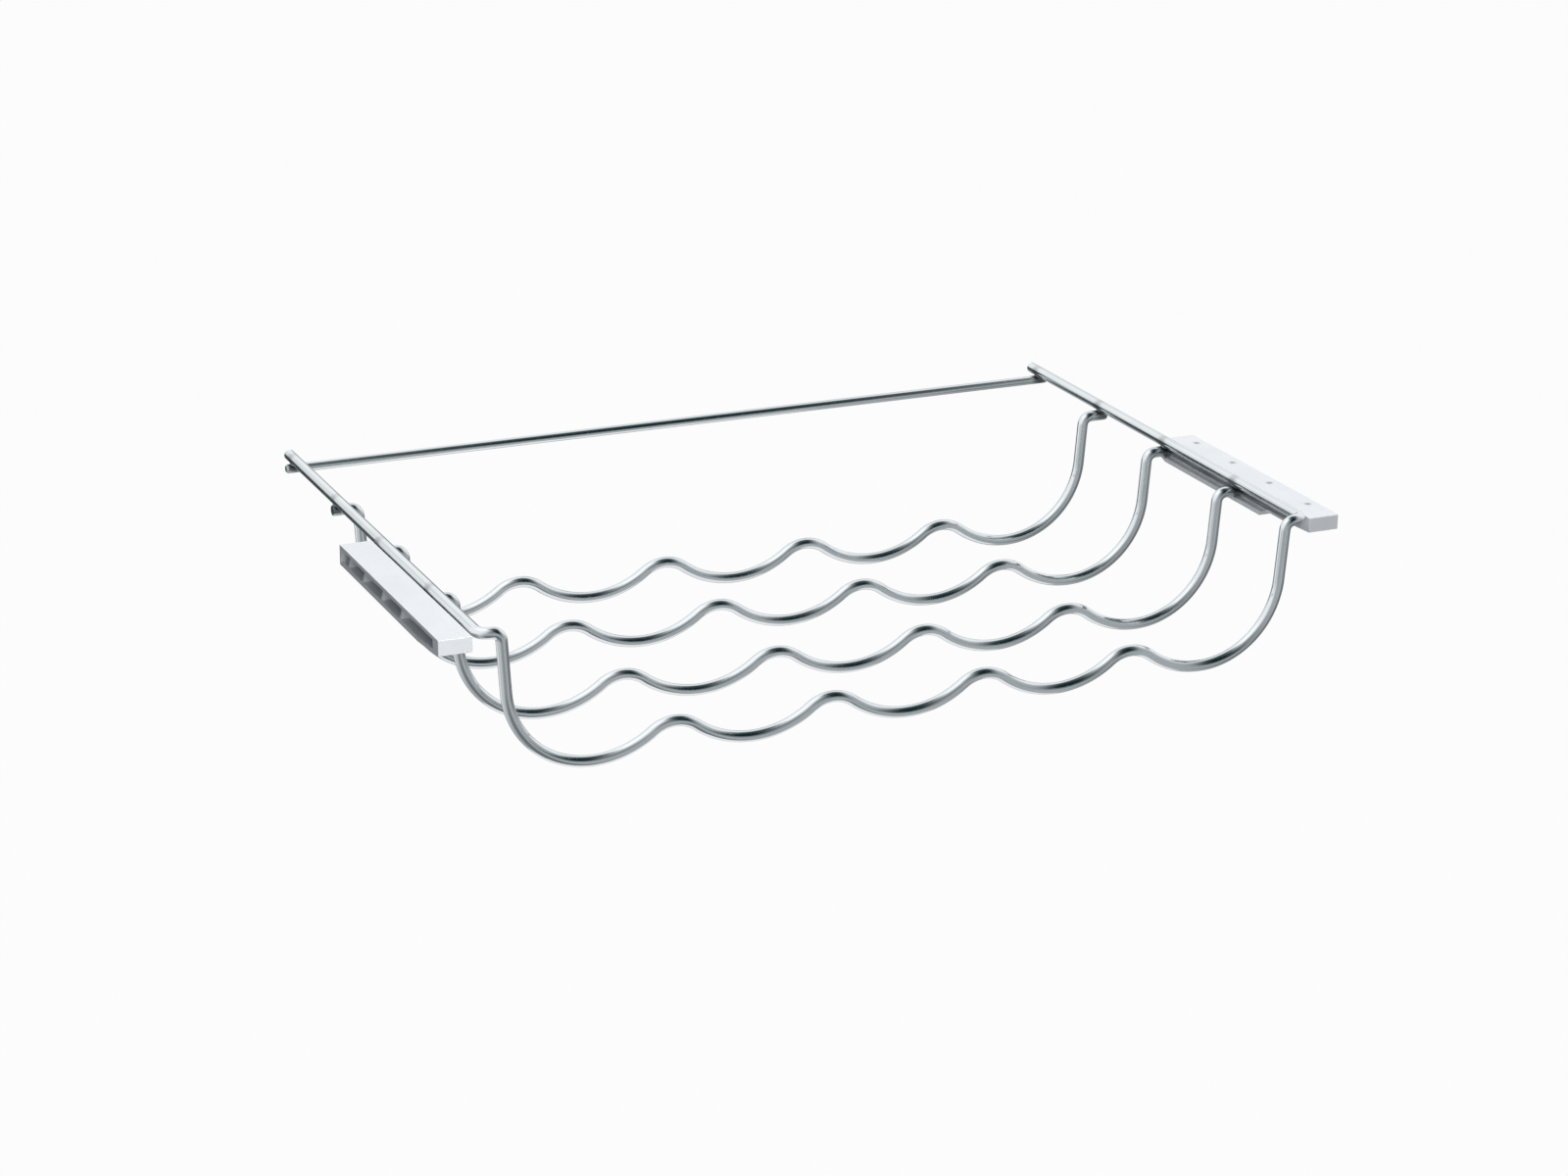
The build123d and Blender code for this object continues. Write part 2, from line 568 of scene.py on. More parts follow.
class Travel:
    """Adds up how far a point has come along a row of straight runs and bends."""

    def __init__(self, run: Value) -> None:
        """Start at the beginning of the row.

        Args:
            run: how far along the row the point lies.
        """
        self.run = run
        self.begin: Value | float = 0.0
        self.offset: list[Value | float] = [0.0, 0.0, 0.0]

    def _enter(self, length: Value) -> Value:
        """Move on to the next stretch.

        Args:
            length: how long the stretch is.

        Returns:
            How far into the stretch the point lies.
        """
        inside = (self.run - self.begin).within(0.0, length)
        self.begin = length + self.begin
        return inside

    def straight(
        self, length: Value, heading: Value | float, axes: tuple[int, int] = (0, 2)
    ) -> None:
        """Go straight on.

        Args:
            length: how long the run is.
            heading: its angle from the first axis to the second.
            axes: the two axes of the plane that it lies in.
        """
        inside = self._enter(length)
        for axis, share in zip(axes, cos_sin(heading)):
            self.offset[axis] = inside * share + self.offset[axis]

    def bend(
        self,
        radius: Value,
        turn: Value | float,
        heading: Value | float,
        sign: int,
        axes: tuple[int, int] = (0, 2),
    ) -> None:
        """Go round a bend.

        Args:
            radius: radius of the bend on the centre line.
            turn: its angle, always positive.
            heading: angle at its start, from the first axis to the second.
            sign: 1 where it turns from the first axis to the second, or -1.
            axes: the two axes of the plane that it lies in.
        """
        now = self._enter(radius * turn) / radius * sign + heading
        start_cos, start_sin = cos_sin(heading)
        reach = radius * sign
        first, second = axes
        self.offset[first] = reach * (now.sin() - start_sin) + self.offset[first]
        self.offset[second] = reach * (start_cos - now.cos()) + self.offset[second]

    def repeat(self, count: Value, period: Value, pitch: Value, inner: "Travel") -> None:
        """Take in a stretch that repeats along X.

        Args:
            count: how often it repeats.
            period: its length along the wire.
            pitch: how far it reaches along X.
            inner: the travel along one repeat.
        """
        whole = (self._enter(count * period) / period).floor()
        self.offset[0] = whole * pitch + inner.offset[0] + self.offset[0]
        self.offset[2] = inner.offset[2] + self.offset[2]


class GeometryTree:
    """A Geometry Nodes tree with named inputs, which is run to give a plain mesh."""

    name = "geometry_tree"
    lengths: Sequence[str] = ()
    counts: Sequence[str] = ()

    def __init__(self) -> None:
        """Build the tree."""
        self.group = bpy.data.node_groups.new(self.name, "GeometryNodeTree")
        self.graph = Graph(self.group)
        self.keys: dict[str, str] = {}
        self._socket("Points", "INPUT", "NodeSocketGeometry")
        for label in self.lengths:
            self._socket(label, "INPUT", "NodeSocketFloat")
        for label in self.counts:
            self._socket(label, "INPUT", "NodeSocketInt")
        self._socket("Finish", "INPUT", "NodeSocketMaterial")
        self._socket("Mesh", "OUTPUT", "NodeSocketGeometry")
        self.entry = self.graph.add("NodeGroupInput")
        add = self.graph.add
        whole = add("GeometryNodeRealizeInstances", None, {"Geometry": self.draw()})
        finish = self.entry.outputs["Finish"]
        dressed = add("GeometryNodeSetMaterial", None, {0: whole.outputs[0], "Material": finish})
        add("NodeGroupOutput", None, {"Mesh": dressed.outputs[0]})

    def _socket(self, label: str, way: str, kind: str) -> None:
        """Add a named socket to the tree.

        Args:
            label: the socket's name.
            way: INPUT or OUTPUT.
            kind: the socket's type.
        """
        item = self.group.interface.new_socket(label, in_out=way, socket_type=kind)
        self.keys[label] = item.identifier

    def size(self, label: str) -> Value:
        """Named input of the tree as a value."""
        return Value(self.graph, self.entry.outputs[label])

    def draw(self) -> bpy.types.NodeSocket:
        """Add the tree's own nodes and return the socket of its shape; each tree has its own."""
        raise NotImplementedError

    def run(
        self, name: str, points: Sequence[Point], sizes: Mapping[str, Any]
    ) -> bpy.types.Object:
        """Run the tree once.

        Args:
            name: name of the new piece.
            points: points that the tree works from.
            sizes: values of its named inputs.

        Returns:
            A piece with a plain mesh, at the origin.
        """
        seeds = bpy.data.meshes.new(name + "_points")
        seeds.from_pydata(list(points), [], [])
        holder = bpy.data.objects.new(name + "_points", seeds)
        bpy.context.scene.collection.objects.link(holder)
        modifier = holder.modifiers.new(self.name, "NODES")
        modifier.node_group = self.group
        for label, given in sizes.items():
            modifier[self.keys[label]] = given
        depsgraph = bpy.context.evaluated_depsgraph_get()
        drawn = holder.evaluated_get(depsgraph)
        mesh = bpy.data.meshes.new_from_object(
            drawn, preserve_all_data_layers=True, depsgraph=depsgraph
        )
        holder.modifiers.remove(modifier)
        bpy.data.objects.remove(holder)
        bpy.data.meshes.remove(seeds)
        return add_piece(name, mesh)


class WireTree(GeometryTree):
    """Round wire along a centre line, with chamfered ends."""

    weld_core = 0.0030
    weld_reach = 0.0075
    sharp_angle = radians(30.0)

    def spread(self, total: Value) -> tuple[Value, Value]:
        """Spread points evenly along the wire, about a step apart.

        Args:
            total: length of the centre line.

        Returns:
            How many points there are, and how far along the wire each of them lies.
        """
        steps = (total / self.size("Step") + 0.5).floor()
        run = self.graph.number("GeometryNodeInputIndex") / steps * total
        return steps + 1, run

    def sweep(self, path: Any, count: Value, total: Value) -> bpy.types.NodeSocket:
        """Sweep round wire along evenly spaced points.

        Args:
            path: socket of each point's place, which reads the point's run.
            count: number of points.
            total: length of the centre line.

        Returns:
            The wire, with its run, turn and weld_dulling_and_shade as attributes.
        """
        add, size = self.graph.add, self.size
        radius = size("Diameter") / 2
        line = add("GeometryNodeMeshLine", None, {"Count": count})
        placed = add("GeometryNodeSetPosition", None, {0: line.outputs[0], "Position": path})
        centre = add("GeometryNodeMeshToCurve", None, {0: placed.outputs[0]})
        length = self.graph.number("GeometryNodeSplineParameter", "Length")
        to_end = length.math("MINIMUM", length, total - length)
        taper = (1 - (size("Chamfer") - to_end) / radius).within(0.0, 1.0)
        marked = self.store(centre.outputs[0], "run", length)
        sockets = {"Resolution": size("Sides"), "Radius": radius}
        circle = add("GeometryNodeCurvePrimitiveCircle", None, sockets)
        turn = self.graph.number("GeometryNodeSplineParameter", "Factor")
        profile = self.store(circle.outputs[0], "turn", turn)
        sockets = {"Curve": marked, "Profile Curve": profile, "Scale": taper, "Fill Caps": True}
        swept = add("GeometryNodeCurveToMesh", None, sockets)
        settings = {"target_element": "POINTS"}
        sockets = {"Geometry": self.entry.outputs["Points"]}
        off_weld = self.graph.number("GeometryNodeProximity", "Distance", settings, sockets)
        # Nearness to a weld, which the chrome reads for its duller plate and for its painted
        # shade.
        haze = off_weld.ramp(self.weld_reach, self.weld_core)
        return self.smooth(self.store(swept.outputs[0], "weld_dulling_and_shade", haze))

    def store(self, geometry: Any, name: str, value: Value) -> bpy.types.NodeSocket:
        """Keep a number on each point.

        Args:
            geometry: socket of the geometry.
            name: the attribute's name.
            value: the number to keep.

        Returns:
            The geometry with the attribute.
        """
        settings = {"data_type": "FLOAT", "domain": "POINT"}
        sockets = {"Geometry": geometry, "Name": name, "Value": value}
        return self.graph.add("GeometryNodeStoreNamedAttribute", settings, sockets).outputs[0]

    def smooth(self, geometry: Any) -> bpy.types.NodeSocket:
        """Shade the wire smooth, apart from the edges of its cut ends.

        Args:
            geometry: socket of the mesh.

        Returns:
            The shaded mesh.
        """
        add = self.graph.add
        kind = "GeometryNodeSetShadeSmooth"
        soft = add(kind, {"domain": "FACE"}, {0: geometry, "Shade Smooth": True})
        angle = self.graph.number("GeometryNodeInputMeshEdgeAngle", "Unsigned Angle")
        sharp = angle.math("GREATER_THAN", angle, self.sharp_angle)
        sockets = {0: soft.outputs[0], "Selection": sharp, "Shade Smooth": False}
        return add(kind, {"domain": "EDGE"}, sockets).outputs[0]


class ScallopedWire(WireTree):
    """Wave wire with a row of equal bays, and at each end a leg, a knee and a stub.

    With a corner radius and a tail, each end turns the corner and runs straight
    back, so that front wave and side rails are one bent wire.
    """

    name = "scalloped_wire"
    lengths = (
        "Bay Pitch", "Dip Radius", "Crest Radius", "End Dip Radius", "Leg Lean",
        "Knee Radius", "Hang Depth", "Stub", "Corner Radius", "Tail", "Front Y",
        "Top Z", "Diameter", "Chamfer", "Step",
    )
    counts = ("Bays", "Sides")

    def draw(self) -> bpy.types.NodeSocket:
        """Add the tree's own nodes.

        Returns:
            The socket of its shape.
        """
        size = self.size
        pitch, dip, crest = size("Bay Pitch"), size("Dip Radius"), size("Crest Radius")
        end_dip, knee, stub = size("End Dip Radius"), size("Knee Radius"), size("Stub")
        corner, tail = size("Corner Radius"), size("Tail")
        steps = size("Bays") - 1
        lean = pi / 2 - size("Leg Lean")
        wave = (pitch / 2 / (dip + crest)).asin()
        bends = end_dip + knee
        leg = (size("Hang Depth") - bends * (1 - lean.cos())) / lean.sin()
        period = (dip + crest) * wave * 2
        half_width = steps / 2 * pitch + bends * lean.sin() + leg * lean.cos() + stub + corner
        end_run = tail + corner * (pi / 2) + stub + bends * lean + leg
        total = end_run * 2 + steps * period
        count, run = self.spread(total)

        in_bays = (run - end_run).within(0.0, steps * period)
        bay = Travel(in_bays - (in_bays / period).floor() * period)
        bay.bend(dip, wave, 0.0, 1)
        bay.bend(crest, wave * 2, wave, -1)
        bay.bend(dip, wave, -wave, 1)

        flat = (0, 1)
        way = Travel(run)
        way.straight(tail, -pi / 2, flat)
        way.bend(corner, pi / 2, -pi / 2, 1, flat)
        way.straight(stub, 0.0)
        way.bend(knee, lean, 0.0, -1)
        way.straight(leg, -lean)
        way.bend(end_dip, lean, -lean, 1)
        way.repeat(steps, period, pitch, bay)
        way.bend(end_dip, lean, 0.0, 1)
        way.straight(leg, lean)
        way.bend(knee, lean, lean, -1)
        way.straight(stub, 0.0)
        way.bend(corner, pi / 2, 0.0, 1, flat)
        way.straight(tail, pi / 2, flat)
        x, y, z = way.offset
        start_y = size("Front Y") + corner + tail
        path = self.graph.vector(x - half_width, start_y + y, size("Top Z") + z)
        return self.sweep(path, count, total)


class StraightRod(WireTree):
    """Straight wire across the rack."""

    name = "straight_rod"
    lengths = ("Length", "Rod Y", "Rod Z", "Diameter", "Chamfer", "Step")
    counts = ("Sides",)

    def draw(self) -> bpy.types.NodeSocket:
        """Add the tree's own nodes.

        Returns:
            The socket of its shape.
        """
        size = self.size
        total = size("Length")
        count, run = self.spread(total)
        path = self.graph.vector(run - total / 2, size("Rod Y"), size("Rod Z"))
        return self.sweep(path, count, total)


class WeldRings(GeometryTree):
    """Uneven ring of squeezed-out metal at each crossing of a wire under a rail."""

    name = "weld_rings"
    lengths = ("Upper Radius", "Lower Radius", "Axis Gap", "Ring Radius", "Bead", "Unevenness")
    counts = ("Sides", "Bead Sides")
    lump_noise = Noise(560.0, 2.0)

    def draw(self) -> bpy.types.NodeSocket:
        """Add the tree's own nodes.

        Returns:
            The socket of its shape.
        """
        add, size = self.graph.add, self.size
        upper, lower, ring = size("Upper Radius"), size("Lower Radius"), size("Ring Radius")
        angle = self.graph.number("GeometryNodeSplineParameter", "Factor") * tau
        x, y = angle.cos() * ring, angle.sin() * ring
        under_rail = -(upper * upper - x * x).root()
        over_wire = (lower * lower - y * y).root() - size("Axis Gap")
        saddle = self.graph.vector(x, y, (under_rail + over_wire) / 2)
        circle = add("GeometryNodeCurvePrimitiveCircle", None, {"Resolution": size("Sides")})
        bent = add("GeometryNodeSetPosition", None, {0: circle.outputs[0], "Position": saddle})
        sockets = {"Resolution": size("Bead Sides"), "Radius": size("Bead")}
        bead = add("GeometryNodeCurvePrimitiveCircle", None, sockets)
        sockets = {"Curve": bent.outputs[0], "Profile Curve": bead.outputs[0]}
        tube = add("GeometryNodeCurveToMesh", None, sockets)
        sockets = {"Points": self.entry.outputs["Points"], "Instance": tube.outputs[0]}
        rings = add("GeometryNodeInstanceOnPoints", None, sockets)
        whole = add("GeometryNodeRealizeInstances", None, {0: rings.outputs[0]})
        place = add("GeometryNodeInputPosition").outputs[0]
        lumps = self.lump_noise.on(self.graph, place) - 0.5
        normal = add("GeometryNodeInputNormal").outputs[0]
        sockets = {0: normal, "Scale": lumps * size("Unevenness")}
        push = add("ShaderNodeVectorMath", {"operation": "SCALE"}, sockets)
        sockets = {0: whole.outputs[0], "Offset": push.outputs[0]}
        uneven = add("GeometryNodeSetPosition", None, sockets)
        sockets = {0: uneven.outputs[0], "Shade Smooth": True}
        return add("GeometryNodeSetShadeSmooth", {"domain": "FACE"}, sockets).outputs[0]


def add_piece(name: str, mesh: bpy.types.Mesh) -> bpy.types.Object:
    """Put a mesh in the scene.

    Args:
        name: name of the object and its mesh.
        mesh: the mesh, in place.

    Returns:
        The new object, at the origin.
    """
    mesh.name = name
    piece = bpy.data.objects.new(name, mesh)
    bpy.context.scene.collection.objects.link(piece)
    return piece


def middle(node: str) -> Vector:
    """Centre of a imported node's box."""
    low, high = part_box(node)
    return (low + high) / 2


@dataclass
class WireRack:
    """The sliding rack: front frame, three hung waves, rear rod and their welds."""

    chrome: BrightChrome = field(default_factory=BrightChrome)
    flash: WeldFlash = field(default_factory=WeldFlash)
    wire_diameter: float = 0.006
    rod_diameter: float = 0.005
    bay_count: int = 5
    bay_pitch: float = 0.086
    dip_radius: float = 0.0515
    crest_radius: float = 0.0196
    end_dip_radius: float = 0.0456
    leg_lean: float = radians(4.0)
    knee_radius: float = 0.005
    corner_radius: float = 0.006
    corner_straight: float = 0.00025
    cut_chamfer: float = 0.0003
    end_chamfer: float = 0.0008
    weld_sink: float = 0.0006
    point_step: float = 0.001
    sides: int = 24
    ring_radius: float = 0.00215
    ring_sides: int = 36
    bead: float = 0.00052
    bead_sides: int = 12
    unevenness: float = 0.0004
    hung_waves: tuple[str, ...] = ("second_wave", "third_wave", "rear_wave")
    plate: bpy.types.Material = field(init=False)

    @property
    def wire_radius(self) -> float:
        """Half the diameter of the rails and waves."""
        return self.wire_diameter / 2

    def build(self) -> list[bpy.types.Object]:
        """Make and dress all pieces of the rack.

        Returns:
            The new pieces.
        """
        self.plate = self.chrome.material()
        tree = ScallopedWire()
        pieces = [self._front_frame(tree)]
        pieces += [self._hung_wave(tree, node) for node in self.hung_waves]
        pieces.append(self._rear_rod())
        pieces += self._welds()
        for piece in pieces:
            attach(piece, Body.RACK.value)
        return pieces

    def _crossings(self, nodes: Sequence[str], drop: float = 0.0) -> list[Point]:
        """Points on or under the rails' centre lines where wires pass under them.

        Args:
            nodes: the crossing wires.
            drop: how far under the centre lines the points lie.

        Returns:
            Two points for each wire.
        """
        rail = middle("right_rail")
        z = rail.z - drop
        return [(side.value * rail.x, middle(node).y, z) for node in nodes for side in Side]

    def _contacts(self, nodes: Sequence[str]) -> list[Point]:
        """Points where the wires touch the rails above them."""
        return self._crossings(nodes, self.wire_radius)

    def _stub_z(self) -> float:
        """Height of the level ends of the waves, which are pressed into the rails."""
        return middle("right_rail").z - self.wire_diameter + self.weld_sink

    def _rod_z(self) -> float:
        """Height of the rear rod."""
        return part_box("rear_rod")[0].z + self.rod_diameter / 2

    def _wave_sizes(self) -> dict[str, Any]:
        """Gather the inputs that all scalloped wires share.

        Returns:
            Their values by name.
        """
        return {
            "Bays": self.bay_count,
            "Bay Pitch": self.bay_pitch,
            "Dip Radius": self.dip_radius,
            "Crest Radius": self.crest_radius,
            "End Dip Radius": self.end_dip_radius,
            "Leg Lean": self.leg_lean,
            "Knee Radius": self.knee_radius,
            "Diameter": self.wire_diameter,
            "Step": self.point_step,
            "Sides": self.sides,
            "Finish": self.plate,
        }

    def _front_frame(self, tree: ScallopedWire) -> bpy.types.Object:
        """Make the long wire that is left rail, front wave and right rail.

        Args:
            tree: the tree of the scalloped wires.

        Returns:
            The new piece.
        """
        front_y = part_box("front_wave")[0].y + self.wire_radius
        rail_end_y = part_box("right_rail")[1].y
        top_z = middle("right_rail").z
        sizes = self._wave_sizes() | {
            "Hang Depth": top_z - self.wire_radius,
            "Stub": self.corner_straight,
            "Corner Radius": self.corner_radius,
            "Tail": rail_end_y - front_y - self.corner_radius,
            "Front Y": front_y,
            "Top Z": top_z,
            "Chamfer": self.end_chamfer,
        }
        contacts = self._contacts((*self.hung_waves, "rear_rod"))
        piece = tree.run("front_frame_wire", contacts, sizes)
        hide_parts("front_wave", "left_rail", "right_rail")
        return piece

    def _hung_wave(self, tree: ScallopedWire, node: str) -> bpy.types.Object:
        """Make a wave whose stubs pass under the rails.

        Args:
            tree: the tree of the scalloped wires.
            node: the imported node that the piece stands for.

        Returns:
            The new piece.
        """
        low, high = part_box(node)
        lean = pi / 2 - self.leg_lean
        bends = self.end_dip_radius + self.knee_radius
        top_z = self._stub_z()
        hang = top_z - low.z - self.wire_radius
        leg = (hang - bends * (1 - cos(lean))) / sin(lean)
        knee_end = (self.bay_count - 1) / 2 * self.bay_pitch + bends * sin(lean) + leg * cos(lean)
        sizes = self._wave_sizes() | {
            "Hang Depth": hang,
            "Stub": high.x - knee_end,
            "Corner Radius": 0.0,
            "Tail": 0.0,
            "Front Y": middle(node).y,
            "Top Z": top_z,
            "Chamfer": self.cut_chamfer,
        }
        piece = tree.run(node + "_wire", self._contacts((node,)), sizes)
        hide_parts(node)
        return piece

    def _rear_rod(self) -> bpy.types.Object:
        """Make the straight rod at the back.

        Returns:
            The new piece.
        """
        low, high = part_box("rear_rod")
        sizes = {
            "Length": high.x - low.x,
            "Rod Y": middle("rear_rod").y,
            "Rod Z": self._rod_z(),
            "Diameter": self.rod_diameter,
            "Chamfer": self.end_chamfer,
            "Step": self.point_step,
            "Sides": self.sides,
            "Finish": self.plate,
        }
        piece = StraightRod().run("rear_rod_wire", self._contacts(("rear_rod",)), sizes)
        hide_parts("rear_rod")
        return piece

    def _welds(self) -> list[bpy.types.Object]:
        """Make the weld rings under the rails.

        Returns:
            One piece for the waves and one for the rod.
        """
        tree = WeldRings()
        rail_z = middle("right_rail").z
        rows = (
            ("wave_weld_flash", self.hung_waves, self.wire_diameter, self._stub_z()),
            ("rod_weld_flash", ("rear_rod",), self.rod_diameter, self._rod_z()),
        )
        finish = self.flash.material()
        pieces = []
        for name, nodes, diameter, wire_z in rows:
            sizes = {
                "Upper Radius": self.wire_radius,
                "Lower Radius": diameter / 2,
                "Axis Gap": rail_z - wire_z,
                "Ring Radius": self.ring_radius,
                "Bead": self.bead,
                "Unevenness": self.unevenness,
                "Sides": self.ring_sides,
                "Bead Sides": self.bead_sides,
                "Finish": finish,
            }
            pieces.append(tree.run(name, self._crossings(nodes), sizes))
        return pieces


@dataclass
class SideGuides:
    """The two moulded guides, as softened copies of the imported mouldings."""

    nodes: tuple[str, ...] = ("left_guide", "right_guide")
    merge_distance: float = 0.00001
    flat_angle: float = radians(1.0)
    soft_edge: float = 0.0003
    soft_segments: int = 2
    soft_angle: float = radians(38.0)
    face_weight: int = 100
    guide_width: float = 0.0175
    lip_wall: float = 0.002
    rib_from_rear: tuple[float, ...] = (0.0115, 0.035, 0.064, 0.093)
    mark_count: int = 4
    mark_pitch: float = 0.0389
    mark_from_front: float = 0.0212
    mark_from_edge: float = 0.0057

    def build(self) -> list[bpy.types.Object]:
        """Make and dress both guides.

        Returns:
            The new pieces.
        """
        low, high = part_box("right_guide")
        ribs = tuple(high.y - back for back in self.rib_from_rear)
        mark_x, mark_y = high.x - self.mark_from_edge, low.y + self.mark_from_front
        marks = tuple((mark_x, mark_y + i * self.mark_pitch) for i in range(self.mark_count))
        inner_x = high.x - self.guide_width
        lip_z = low.z + self.lip_wall
        plastic = MouldedPlastic(ribs, marks, inner_x, lip_z, low.y).material()
        return [self._soft_copy(node, plastic) for node in self.nodes]

    def _soft_copy(self, node: str, plastic: bpy.types.Material) -> bpy.types.Object:
        """Copy a packed guide and soften its edges.

        Args:
            node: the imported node.
            plastic: its finish.

        Returns:
            The new piece.
        """
        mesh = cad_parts[node].data.copy()
        shape = bmesh.new()
        shape.from_mesh(mesh)
        bmesh.ops.remove_doubles(shape, verts=shape.verts, dist=self.merge_distance)
        bmesh.ops.dissolve_limit(
            shape, angle_limit=self.flat_angle, verts=shape.verts, edges=shape.edges
        )
        shape.to_mesh(mesh)
        shape.free()
        mesh.materials.clear()
        mesh.materials.append(plastic)
        piece = add_piece(node + "_moulding", mesh)
        mesh.shade_smooth()
        soften = piece.modifiers.new("soft_edges", "BEVEL")
        soften.width = self.soft_edge
        soften.segments = self.soft_segments
        soften.limit_method = "ANGLE"
        soften.angle_limit = self.soft_angle
        even = piece.modifiers.new("even_faces", "WEIGHTED_NORMAL")
        even.mode = "FACE_AREA"
        even.weight = self.face_weight
        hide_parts(node)
        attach(piece, Body.GUIDES.value)
        return piece


@dataclass
class Lamp:
    """Soft rectangular lamp that looks at a point."""

    name: str
    place: Point
    target: Point
    width: float
    height: float
    power: float

    def build(self) -> None:
        """Make the lamp, which neither the camera nor a mirror shows."""
        light = bpy.data.lights.new(self.name, "AREA")
        light.shape = "RECTANGLE"
        light.size = self.width
        light.size_y = self.height
        light.energy = self.power
        lamp = bpy.data.objects.new(self.name, light)
        lamp.location = self.place
        aim = Vector(self.target) - Vector(self.place)
        lamp.rotation_euler = aim.to_track_quat("-Z", "Y").to_euler()
        lamp.visible_camera = False
        lamp.visible_glossy = False
        bpy.context.scene.collection.objects.link(lamp)


@dataclass(frozen=True)
class Cloth:
    """Stretch of the tent's cloth, fading out around one direction, in degrees."""

    azimuth: float
    lift: float
    inner: float
    outer: float
    grey: float

    def direction(self) -> Point:
        """Unit vector to the middle of the stretch; azimuth runs from the front to the right."""
        around, up = radians(self.azimuth), radians(self.lift)
        return (sin(around) * cos(up), -cos(around) * cos(up), sin(up))


@dataclass
class Studio:
    """Pale floor well below the hung rack, soft lamps and a tent for the chrome to mirror."""

    floor_z: float = -0.5
    floor_radius: float = 30.0
    floor_sides: int = 96
    floor_white: Colour = (0.26, 0.26, 0.26)
    floor_roughness: float = 0.9
    floor_glow: float = 0.97
    ambient: float = 0.17
    ambient_tint: Colour = (0.91, 1.0, 1.09)
    tent_radius: float = 1.3
    tent_low: float = radians(-55.0)
    tent_high: float = radians(89.0)
    tent_gap: float = 0.02
    tent_rows: int = 24
    tent_columns: int = 72
    tent_grey: Colour = (0.45, 0.475, 0.485)
    tent_haze: Colour = (0.003, 0.020, 0.026)
    cloths: tuple[Cloth, ...] = (
        Cloth(-112.0, 36.0, 40.0, 88.0, 1.04),
        Cloth(174.0, 30.0, 8.0, 28.0, 1.05),
        Cloth(-100.0, 66.0, 14.0, 34.0, 1.25),
        Cloth(112.0, 30.0, 18.0, 56.0, 1.02),
        Cloth(-150.0, 20.0, 4.0, 16.0, 0.85),
        Cloth(8.0, 32.0, 2.0, 38.0, 0.24),
        Cloth(60.0, 68.0, 10.0, 36.0, 0.06),
        Cloth(30.0, 42.0, 7.0, 27.0, 0.0),
        Cloth(25.0, 20.0, 6.0, 18.0, 0.0),
        Cloth(24.0, 1.0, 3.0, 13.0, 0.14),
        Cloth(54.0, -24.0, 5.0, 20.0, 0.15),
        Cloth(80.0, -24.0, 8.0, 28.0, 0.18),
        Cloth(122.0, -22.0, 8.0, 26.0, 0.12),
        Cloth(-85.0, -20.0, 5.0, 30.0, 0.60),
        Cloth(-22.0, -40.0, 12.0, 36.0, 0.18),
        Cloth(-157.0, -8.0, 8.0, 22.0, 0.03),
        Cloth(-170.0, -30.0, 6.0, 18.0, 0.10),
        Cloth(158.0, 6.0, 4.0, 14.0, 0.25),
    )
    lamps: tuple[Lamp, ...] = (
        Lamp("overhead_soft_lamp", (0.08, 0.0, 1.6), (0.08, 0.0, 0.0), 1.0, 0.9, 22.0),
        Lamp("left_fill_lamp", (-0.45, -1.0, 0.35), (-0.1, -0.1, 0.05), 0.4, 0.35, 1.2),
        Lamp("front_left_soft_lamp", (-0.24, -0.5, 0.12), (-0.24, -0.15, 0.072), 0.2, 0.12, 0.84),
        Lamp("front_right_soft_lamp", (0.24, -0.5, 0.12), (0.24, -0.15, 0.072), 0.2, 0.12, 0.28),
    )

    def build(self) -> None:
        """Make the world, floor, tent and lamps."""
        self._world()
        self._floor()
        self._tent()
        for lamp in self.lamps:
            lamp.build()

    @staticmethod
    def _seen_white(graph: Graph) -> Value:
        """Find the rays that come from the camera or off shiny and clear surfaces.

        Args:
            graph: graph of the world or of a material.

        Returns:
            1 for these rays and 0 for the others.
        """
        path = graph.add("ShaderNodeLightPath")
        rays = ("Is Camera Ray", "Is Glossy Ray", "Is Transmission Ray")
        camera, glossy, through = (Value(graph, path.outputs[ray]) for ray in rays)
        return (camera + glossy + through).within(0.0, 1.0)

    def _world(self) -> None:
        """White where it is seen, and a soft fill for the rest."""
        world = bpy.data.worlds.new("white_studio")
        world.use_nodes = True
        bpy.context.scene.world = world
        graph = Graph(world.node_tree)
        background = world.node_tree.nodes["Background"]
        seen = self._seen_white(graph)
        colour = graph.blend(seen, self.ambient_tint, (1.0, 1.0, 1.0))
        graph.feed(background.inputs["Color"], colour)
        graph.feed(background.inputs["Strength"], seen * (1 - self.ambient) + self.ambient)

    def _floor(self) -> None:
        """Round floor that shows white and keeps the rack's soft shadow."""
        shape = bmesh.new()
        bmesh.ops.create_circle(
            shape, cap_ends=True, segments=self.floor_sides, radius=self.floor_radius
        )
        bmesh.ops.translate(shape, verts=shape.verts, vec=(0.0, 0.0, self.floor_z))
        mesh = bpy.data.meshes.new("pale_floor")
        shape.to_mesh(mesh)
        shape.free()
        material, graph, shader = new_material("pale_floor")
        shader.inputs["Base Color"].default_value = opaque(self.floor_white)
        shader.inputs["Roughness"].default_value = self.floor_roughness
        glow = graph.add("ShaderNodeEmission", None, {"Strength": 1.0})
        share = self._seen_white(graph) * self.floor_glow
        sockets = {0: share, 1: shader.outputs[0], 2: glow.outputs[0]}
        mixed = graph.add("ShaderNodeMixShader", None, sockets)
        graph.feed(material.node_tree.nodes["Material Output"].inputs["Surface"], mixed.outputs[0])
        material.cycles.emission_sampling = "NONE"
        mesh.materials.append(material)
        add_piece("pale_floor", mesh)

